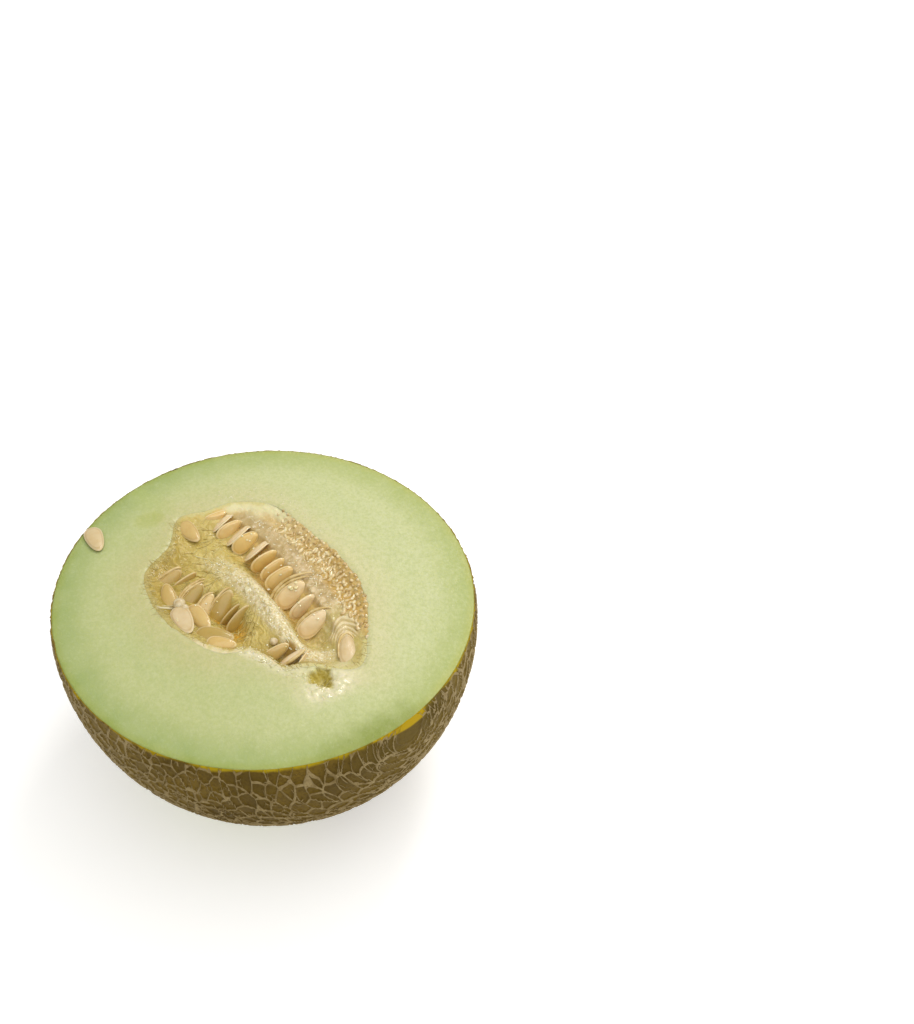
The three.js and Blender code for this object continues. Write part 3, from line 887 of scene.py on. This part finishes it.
def fibres_out(place):
    """Fibres that run outward from the middle of the hollow, as a height about 0.5."""
    flat = place.vector("MULTIPLY", (1, 1, 0)).vector("SUBTRACT", (*hollow_middle, 0))
    turned = flat.vector("NORMALIZE").scaled(26).vector("ADD", place.swirl(0.12).scaled(14))
    x, y, _ = turned.parts()
    laid = x.node("ShaderNodeCombineXYZ", None, {0: x, 1: y, 2: flat.length() * 0.16})
    return laid.noise(1.5, 3, 0.6)


def fibres_along(place):
    """Fibres that run along the fruit, as a height about 0.5."""
    stretched = place.vector("MULTIPLY", (0.2, 1, 0.3))
    return stretched.vector("ADD", place.swirl(0.1).scaled(5)).noise(0.9, 3, 0.6)


def pleats(place):
    """Pleats in the film, which run up over the seeds, as a height about 0.5."""
    x, y, _ = place.vector("ADD", place.swirl(0.22, 3).scaled(7)).parts()
    laid = x.node("ShaderNodeCombineXYZ", None, {0: x + y * 0.5, 1: y * 0.4, 2: 0})
    return laid.noise(1.4, 4, 0.6)


def pulp_offset(place):
    strand, film, band = (mask_of(place, name) for name in ("strand", "film", "band"))
    rest = 1 - strand.math("MAXIMUM", film)
    lumps = (place.noise(4.2, 2) - 0.5) * 2.0
    lines = (fibres_out(place) - 0.5) * 1.2 * rest
    strand_lines = ((fibres_along(place) - 0.5) * 0.1 + (place.noise(1.7, 3) - 0.5) * 1.1) * strand
    film_lines = (pleats(place) - 0.5) * 0.9 * film
    top = place.node("GeometryNodeInputNormal").parts()[2].rise(0.1, 0.5)
    calm = (1 - 0.75 * mask_of(place, "edge")) * (1 - 0.7 * mask_of(place, "seeds"))
    calm = calm * (1 - 0.8 * mask_of(place, "layered"))
    stepped = mask_of(place, "layers") * (0.1 + place.noise(2.5, 1) * 0.4)
    lift = ((lumps + lines + strand_lines + film_lines) * calm + stepped) * top
    return lift.node("ShaderNodeCombineXYZ", None, {2: lift * mm})


with_relief(pulp, pulp_offset)
pulp_paint, pulp_shader, pulp_place = new_material(
    "wet_pulp", Subsurface_Weight=0.3, Subsurface_Radius=(1.0, 0.7, 0.3),
    Subsurface_Scale=1.8 * mm, Coat_Roughness=0.08, IOR=1.36)
sunk, film, band, web, strand, edge, bare, layered, layers = (
    stored(pulp_place, name) for name in (
        "sunk", "film", "band", "web", "strand", "edge", "bare", "layered", "layers"))
place_x, place_y, _ = pulp_place.parts()
lines = fibres_out(pulp_place)
leftness = across_of(pulp_place).rise(-18, -30)
jelly_left = lines.rise(0.34, 0.66).mix((158, 134, 50), (186, 162, 80))
# Painted shade and light: where the pulp lies deep it is painted dark amber low in the hollow, as the
# shade of that recess, and a warm gold under the upper row, lightened against the shade the seeds cast
# there.
deep_shade_tone = place_y.rise(-9, -2).mix((196, 146, 36), (216, 184, 106))
strand_grain = (fibres_along(pulp_place) * 0.2 + pulp_place.noise(1.3, 3) * 0.8).rise(0.36, 0.62)
# The strand's near white specks are painted highlights, standing in for the glints of its wet surface.
strand_tone = coated(
    strand_grain.mix((200, 182, 124), (226, 212, 170)),
    (pulp_place.noise(0.7, 2).rise(0.56, 0.64) * 0.8, (244, 238, 212)),
    (place_x.rise(-4, -22) * 0.6, (186, 166, 92)))
# The film's darker blotches are painted shade and its pale ones painted wet highlights, laid at random
# by noise.
film_tone = coated(
    pleats(pulp_place).rise(0.32, 0.68).mix((184, 158, 104), (214, 192, 150)),
    (place_x.rise(-14, -24) * place_y.rise(15, 11) * 0.6, (182, 158, 104)),
    (pulp_place.noise(3.2, 2).rise(0.44, 0.64) * 0.6, (168, 142, 86)),
    (pulp_place.noise(2.6, 2).rise(0.42, 0.3) * 0.6, (232, 216, 182)))
pocket = place_x.rise(14, 24) * (1 - strand)
light_pocket = coated(
    pulp_place.noise(1.5, 3).rise(0.38, 0.66).mix((194, 178, 110), (222, 207, 154)),
    (place_x.rise(26.5, 28.5) * 0.6, (182, 164, 88)))
# Painted shadow: a dark brown spot in the gap beside the seeds at the right end.
gap_shadow_spot = round_spot(pulp_place, (24.4, -3.8), (3.6, 2.4)).rise(1, 0.3)
band_left = place_x.rise(4, -24)
amber = round_spot(pulp_place, (14, 18.5), (13, 5)) + (pulp_place.noise(3, 2) - 0.5)
band_tone = coated(
    band_left.mix((190, 157, 88), (194, 166, 104)),
    (pulp_place.noise(1.6, 3).rise(0.35, 0.65), band_left.mix((208, 178, 114), (210, 186, 132))),
    (amber.rise(1, 0.4) * 0.7, (188, 148, 62)))
layer_light = (layers * (0.4 + pulp_place.noise(1.6, 2))).rise(0.15, 0.75)
near_lip = place_x.rise(5, 12) * place_x.rise(37, 31) * place_y.rise(2, -4)
near_lip = near_lip * pulp_place.noise(2.4, 3).rise(0.3, 0.6)
soft_edge = (edge + (pulp_place.noise(2.2, 3) - 0.5) * 0.9 + near_lip * 0.3).rise(0.6, 1.05)
edge_tone = leftness.mix((206, 196, 134), (184, 168, 100))
pulp_tone = coated(
    lines.rise(0.3, 0.7).mix((186, 164, 84), (206, 187, 116)),
    (leftness, jelly_left),
    (sunk.rise(4.2, 8) * 0.9, deep_shade_tone),
    (strand, strand_tone),
    (web * (1 - strand), (214, 184, 114)),
    (film, film_tone),
    (pocket * 0.85, place_y.rise(0.5, 3.5).mix((160, 136, 60), light_pocket)),
    (gap_shadow_spot * 0.9, (172, 136, 60)),
    (band, band_tone),
    (layered * 0.85, layer_light.mix((190, 166, 108), (222, 205, 162))),
    (bare, (220, 212, 164)),
    (soft_edge, near_lip.mix(edge_tone, (222, 207, 164))))
pulp_tone.into(pulp_shader, "Base Color")
(0.26 + pulp_place.noise(1.3, 2).rise(0.4, 0.7) * 0.25).into(pulp_shader, "Roughness")
(pulp_place.noise(4, 2).rise(0.35, 0.65) * (0.2 + film * 0.4)).into(pulp_shader, "Coat Weight")
smooth = film.math("MAXIMUM", strand * 0.7)
fine = (lines + pulp_place.noise(0.5, 3) * 0.5) * (1 - 0.8 * smooth) + pulp_place.noise(1.3, 2) * smooth
bump(fine, 0.3 * mm, pulp_shader, 0.7)
pulp.data.materials.append(pulp_paint)
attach(pulp, "root")
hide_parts("seed_heart")


# The seed tips: the ends of many more seeds show through the golden band as pale beads, round
# along its far edge and longer and bent behind it.
def bent_beads(name, paths, material, sides=2):
    """Joins one round, tapered length for each path of places with their radii, in metres."""
    curve = bpy.data.curves.new(name, "CURVE")
    curve.dimensions = "3D"
    curve.bevel_depth = 1
    curve.bevel_resolution = sides
    curve.use_fill_caps = True
    for path in paths:
        spline = curve.splines.new("POLY")
        spline.points.add(len(path) - 1)
        for point, (place, radius) in zip(spline.points, path):
            point.co = (*place, 1)
            point.radius = radius
    source = bpy.data.objects.new(name + "_path", curve)
    mesh = bpy.data.meshes.new_from_object(source)
    mesh.name = name
    bpy.data.objects.remove(source)
    mesh.shade_smooth()
    mesh.materials.clear()
    return new_object(name, mesh, material)


def ground_of(*objects):
    """The height of what lies highest at a place, in metres."""
    dug = bpy.context.evaluated_depsgraph_get()
    trees = [BVHTree.FromObject(obj, dug) for obj in objects]

    def height(x, y):
        hits = [tree.ray_cast(Vector((x, y, face_height + 0.01)), Vector((0, 0, -1)))[0]
                for tree in trees]
        return max([hit.z for hit in hits if hit], default=face_height)
    return height


def out_of_middle(angle, reach):
    """The place that lies this far from the middle of the hollow in a direction."""
    return reach * math.cos(angle) + hollow_middle[0], reach * math.sin(angle) + hollow_middle[1]


tip_columns, tip_rows, bead_rows = 36, 5, 2
tip_from, tip_to = 3, 146
tip_inset, tip_pitch = 0.4, 1.75
bead_radius, crescent_radius = 0.76, 0.66
bead_length, crescent_length = 0.3, 1.5
tip_heading, tip_spread, tip_bend = 122, 34, 0.8
row_clearance, end_clearance = 8, 7
end_place = (32, 10)
tip_draw = draws(5)
ground = ground_of(pulp, flesh)
tip_paths = []
for row in range(tip_rows):
    far_row = row < bead_rows
    for column in range(tip_columns):
        share = (column + 0.5 * (row % 2) + 0.3 * next(tip_draw)) / tip_columns
        angle = math.radians(tip_from + (tip_to - tip_from) * share)
        reach = float(edge_reach(angle)) - tip_inset - tip_pitch * row + 0.35 * next(tip_draw)
        x, y = out_of_middle(angle, reach)
        radius = bead_radius if far_row else crescent_radius
        radius *= (1.05 - 0.3 * share) * (1 + 0.18 * next(tip_draw))
        length = bead_length if far_row else crescent_length + 0.3 * row
        length *= 1 + 0.5 * next(tip_draw)
        heading = math.radians(tip_heading + tip_spread * next(tip_draw))
        bend = rng.uniform(-tip_bend, tip_bend)
        off_end = math.hypot(x - end_place[0], y - end_place[1])
        if y - upper_row(x) < row_clearance or off_end < end_clearance:
            continue
        path = []
        for k in range(9):
            side = k / 8 * 2 - 1
            turned = heading + bend * side
            px = (x + math.cos(turned) * (length + radius) * side / 2) * mm
            py = (y + math.sin(turned) * (length + radius) * side / 2) * mm
            end = math.sqrt(max(1 - side ** 4, 0.04))
            path.append(((px, py, ground(px, py) - 0.1 * radius * mm), radius * end * mm))
        tip_paths.append(path)
tip_paint, tip_shader, tip_place = new_material(
    "wet_seed_tip", Subsurface_Weight=0.3, Subsurface_Radius=(1.0, 0.7, 0.4),
    Subsurface_Scale=0.8 * mm, Coat_Weight=0.7, Coat_Roughness=0.06)
tip_tone = tip_place.noise(2.2, 2).rise(0.38, 0.62).mix((192, 162, 98), (230, 211, 164))
tip_tone.into(tip_shader, "Base Color")
(0.28 + tip_place.noise(1.0) * 0.1).into(tip_shader, "Roughness")
tips = bent_beads("seed_tips", tip_paths, tip_paint)
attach(tips, "root")
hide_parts("seed_heart")


# The fibres: fine wet threads that the knife pulled loose. They lie along the strand, fan out
# over the pulp to the edge of the hollow, and stand ragged on the torn lip beside the pit.
def fibre_path(ground, x, y, heading, length, radius, bend, lift, steps=7):
    """A thread that starts here, in millimetres, and lies on the ground or lifts off it."""
    path = []
    for k in range(steps + 1):
        share = k / steps
        px, py = x * mm, y * mm
        height = ground(px, py) + (0.35 * radius + lift * share * share) * mm
        path.append(((px, py, height), radius * (1 - 0.75 * share) * mm))
        heading += bend / steps
        x += math.cos(heading) * length / steps
        y += math.sin(heading) * length / steps
    return path


def torn_lip(x):
    """The y of the torn lip in front of the right end of the hollow."""
    return -11.5 + 0.42 * (x - 27)


many_along, many_loose, many_curls, many_on_lip = 18, 200, 26, 44
hair_spans = ((192, 262, 140, 3.6), (262, 300, 50, 1.6), (-12, 30, 60, 2.6), (30, 80, 50, 1.5))
pit_threads = (
    (40.6, -3.4, 72, 3.4), (42.6, -2.6, 80, 3.2), (41.6, -0.4, 20, 2.6), (43.6, -4.2, 60, 2.4))
ground = ground_of(pulp, flesh)
strand_fibres = []
for _ in range(many_along):
    x = rng.uniform(-25, 27)
    y = float(strand_line(x)) + rng.gauss(0, 1.7)
    slope = math.atan(float(strand_line(x + 1) - strand_line(x)))
    heading = slope + rng.gauss(0, 0.28) + rng.choice((0, math.pi))
    strand_fibres.append(fibre_path(
        ground, x, y, heading, rng.uniform(2, 6), rng.uniform(0.09, 0.24), rng.gauss(0, 0.4), 0))
loose_fibres = []
for _ in range(many_loose):
    angle = rng.uniform(math.radians(150), math.radians(300))
    x, y = out_of_middle(angle, float(edge_reach(angle)) * rng.uniform(0.35, 0.9))
    if strand_share(x, y) > 0.4 or y > upper_row(x) - 6:
        continue
    heading = math.radians(72) + rng.gauss(0, 0.4)
    loose_fibres.append(fibre_path(
        ground, x, y, heading, rng.uniform(2.5, 7), rng.uniform(0.1, 0.26), rng.gauss(0.5, 0.6), 0))
for _ in range(many_curls):
    x, y, heading = rng.uniform(3, 13), rng.uniform(-14, -8), rng.uniform(0, 6.3)
    loose_fibres.append(fibre_path(
        ground, x, y, heading, rng.uniform(2, 4), rng.uniform(0.12, 0.26), rng.gauss(2, 1), 0))
edge_hairs = []
for first, last, many, longest in hair_spans:
    for _ in range(many):
        angle = math.radians(rng.uniform(first, last))
        x, y = out_of_middle(angle, float(edge_reach(angle)) - rng.uniform(0.6, 3.2))
        heading = angle + rng.gauss(0, 0.6)
        length = rng.uniform(0.3, 1) * longest
        edge_hairs.append(fibre_path(
            ground, x, y, heading, length, rng.uniform(0.06, 0.14), rng.gauss(0, 0.6), 0))
lip_fibres = []
for _ in range(many_on_lip):
    if rng.random() < 0.6:
        x = rng.uniform(16, 38)
        y = torn_lip(x) + rng.gauss(0, 1.2)
        heading = rng.gauss(-0.6, 1.2)
    else:
        angle = rng.uniform(0, 2 * math.pi)
        reach = rng.uniform(0.9, 1.4)
        x = crater_place[0] + crater_radii[0] * reach * math.cos(angle)
        y = crater_place[1] + crater_radii[1] * reach * math.sin(angle)
        heading = angle + rng.gauss(math.pi / 2, 0.5)
    lip_fibres.append(fibre_path(
        ground, x, y, heading, rng.uniform(0.8, 2.2), rng.uniform(0.12, 0.24), rng.gauss(0, 0.8), 0.1))
for x, y, heading, length in pit_threads:
    lip_fibres.append(fibre_path(ground, x, y, math.radians(heading), length, 0.2, 0.5, 0.2))


def fibre_material(name, dark, light):
    made, shader, place = new_material(
        name, Subsurface_Weight=0.2, Subsurface_Radius=(1.0, 0.8, 0.4), Subsurface_Scale=0.5 * mm,
        Coat_Weight=0.3, Coat_Roughness=0.2)
    place.noise(1.8, 3).rise(0.35, 0.65).mix(dark, light).into(shader, "Base Color")
    (0.3 + place.noise(0.8) * 0.1).into(shader, "Roughness")
    return made


cream_fibre = fibre_material("cream_fibre", (214, 204, 150), (232, 224, 180))
olive_fibre = fibre_material("olive_fibre", (178, 156, 76), (212, 194, 124))
brown_fibre = fibre_material("brown_fibre", (174, 156, 84), (200, 182, 114))
for name, paths, look, node in (
        ("strand_fibres", strand_fibres, cream_fibre, "seed_heart"),
        ("loose_fibres", loose_fibres, olive_fibre, "seed_heart"),
        ("edge_hairs", edge_hairs, brown_fibre, "seed_heart"),
        ("lip_fibres", lip_fibres, cream_fibre, "melon_flesh")):
    threads = bent_beads(name, paths, look, 0)
    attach(threads, "root")
    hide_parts(node)


# The pale beads: seeds that never filled. They are soft and milky, and the largest lies on the
# near edge with the white threads that fed it.
def soft_bead(bm, x, y, depth, radii, turn):
    made = bmesh.ops.create_icosphere(bm, subdivisions=4, radius=1)["verts"]
    spot = Matrix.Translation((x * mm, y * mm, face_height - depth * mm))
    stretch = Matrix.Diagonal((*[r * mm for r in radii], 1))
    bmesh.ops.transform(bm, matrix=spot @ Matrix.Rotation(turn, 4, "Z") @ stretch, verts=made)


bead_bm = bmesh.new()
soft_bead(bead_bm, -8, -25.3, 1.0, (1.9, 1.9, 1.5), 0)
soft_bead(bead_bm, -5.6, -24.6, 1.2, (1.4, 1.2, 1.1), 0.4)
soft_bead(bead_bm, 20, -6.7, 2.4, (1.3, 1.2, 1.1), 0)
beads = new_object("pale_beads", mesh_of(bead_bm, "pale_beads"))
with_relief(beads, lambda place: place.node("GeometryNodeInputNormal").scaled(
    (place.noise(1.6, 3) - 0.5) * 0.5 * mm))
beads.data.materials.append(fibre_material("milky_bead", (196, 174, 130), (220, 204, 166)))
ground = ground_of(pulp, flesh, seeds)
many_feeding = 7
feeding_threads = []
for _ in range(many_feeding):
    feeding_threads.append(fibre_path(
        ground, -8.6 + rng.uniform(-0.8, 0.8), -26.6 + rng.uniform(-0.6, 0.4),
        math.radians(262) + rng.gauss(0, 0.14), rng.uniform(3, 5.4), rng.uniform(0.16, 0.34),
        rng.gauss(0, 0.35), 0))
threads = bent_beads("feeding_threads", feeding_threads,
                     fibre_material("white_thread", (200, 182, 132), (224, 212, 174)), 1)
for piece in (beads, threads):
    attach(piece, "root")
    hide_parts("seed_heart")


# The seed skins: thin wet skins that wrapped the seeds. The knife opened them, and their torn
# edges stand up as pale lines round one side of a seed.
def skin_line(seed, first, last, gap):
    """A soft fold round the outline of a seed, from one angle to another, just outside it."""
    place = seed_matrix(seed)
    wave = rng.uniform(0, 6)
    path = []
    for k in range(25):
        angle = math.radians(first + (last - first) * k / 24)
        x, y = math.cos(angle), math.sin(angle)
        out = gap + 0.12 * math.sin(wave + 4 * angle)
        rim = seed_width / 2 * (1 - seed_taper * x)
        spot = place @ Vector((x * (seed_length / 2 + out * 1.5), y * (rim + out), -0.15 * gap))
        thick = 0.54 + 0.08 * math.sin(wave + 6 * angle)
        path.append((spot, thick * math.sin(math.pi * (k + 1) / 26) ** 0.6 * mm))
    return path


open_skins = (
    (9, 5, 175, (0.35, 1.25)), (11, 5, 175, (0.35,)), (27, 10, 170, (0.35,)), (12, 0, 150, (0.4,)),
    (15, 5, 160, (0.4, 1.2)), (16, 0, 180, (0.35,)), (17, 10, 170, (0.35,)),
    (end_seed, -60, 110, (0.3,)))
skin_lines = []
for number, first, last, gaps in open_skins:
    for gap in gaps:
        skin_lines.append(skin_line(placed_seeds[number], first, last, gap))
skins = bent_beads("seed_skins", skin_lines,
                   fibre_material("thin_seed_skin", (198, 168, 100), (220, 196, 138)), 1)
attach(skins, "root")
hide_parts("seed_heart")


# The drops: juice that the knife left standing in clear, bright beads on the seeds, the strand
# and the torn lip. Their near white colour is partly painted highlight; their glossy coat gives the
# rest.
drops_on_seeds = (
    (4, 4, 0.5), (5, 2, 0.5), (6, 1, 0.5), (7, 3, 0.4), (8, 3, 0.7), (9, 6, 0.8),
    (10, 2, 0.5), (11, 3, 0.5), (16, 2, 0.4), (17, 2, 0.4), (21, 2, 0.3))
many_on_strand, many_on_film, many_lip_drops, many_specks = 150, 120, 90, 80
drop_bm = bmesh.new()
ground = ground_of(pulp, flesh, seeds)
drop_spots = []
for number, many, largest in drops_on_seeds:
    seed = placed_seeds[number]
    for _ in range(many):
        drop_spots.append((seed["x"] + rng.gauss(0, 1.0), seed["y"] + rng.gauss(-0.8, 1.8),
                           rng.uniform(0.6, 1) * largest))
for _ in range(many_on_strand):
    x = rng.uniform(-24, 34)
    drop_spots.append((x, float(strand_line(x)) + rng.gauss(0, 2.2), rng.uniform(0.14, 0.34)))
for _ in range(many_on_film):
    x = rng.uniform(-34, 24)
    drop_spots.append((x, float(upper_row(x)) + rng.uniform(4, 9), rng.uniform(0.14, 0.3)))
for _ in range(many_lip_drops):
    x = rng.uniform(16, 50)
    drop_spots.append((x, torn_lip(x) + rng.gauss(0, 1.8), rng.uniform(0.14, 0.32)))
for _ in range(many_specks):
    angle = math.radians(rng.uniform(112, 172))
    x, y = out_of_middle(angle, float(edge_reach(angle)) + rng.uniform(0.8, 7))
    drop_spots.append((x, y, rng.uniform(0.1, 0.2)))
for x, y, radius in drop_spots:
    made = bmesh.ops.create_icosphere(drop_bm, subdivisions=2, radius=radius * mm)["verts"]
    bmesh.ops.scale(drop_bm, vec=(1, 1, 0.4), verts=made)
    bmesh.ops.translate(drop_bm, vec=(x * mm, y * mm, ground(x * mm, y * mm)), verts=made)
drop_paint, drop_shader, drop_place = new_material(
    "juice_drop", Coat_Weight=1.0, Coat_Roughness=0.03, Roughness=0.12, IOR=1.34,
    Subsurface_Weight=0.4, Subsurface_Radius=(1.0, 0.8, 0.4), Subsurface_Scale=0.6 * mm)
# Painted highlight: the drops are coloured pale cream to near white, brighter than the pulp under them.
drop_tone = drop_place.noise(3, 2).rise(0.35, 0.65).mix((226, 208, 150), (244, 236, 204))
drop_tone.into(drop_shader, "Base Color")
drops = new_object("juice_drops", mesh_of(drop_bm, "juice_drops"), drop_paint)
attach(drops, "root")
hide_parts("seed_heart")


# The stray seed: one seed that the knife carried out of the hollow. It lies flat on the cut face
# near the rim and sticks there by its own juice.
stray = dict(x=-47.4, y=-38.4, depth=-0.75, heading=-4, rise=0, lean=0, size=0.98)
stray_bm = bmesh.new()
stray_bm.from_mesh(blank)
bmesh.ops.transform(stray_bm, matrix=seed_matrix(stray), verts=stray_bm.verts)
# The stray seed gets painted shade too.
for name, value in (("pale", 1), ("olive", 0.1), ("shade", 0.3)):
    layer = stray_bm.verts.layers.float.new(name)
    for vert in stray_bm.verts:
        vert[layer] = value
stray_seed = new_object("stray_seed", mesh_of(stray_bm, "stray_seed"), seed_paint)
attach(stray_seed, "root")
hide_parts("melon_flesh")
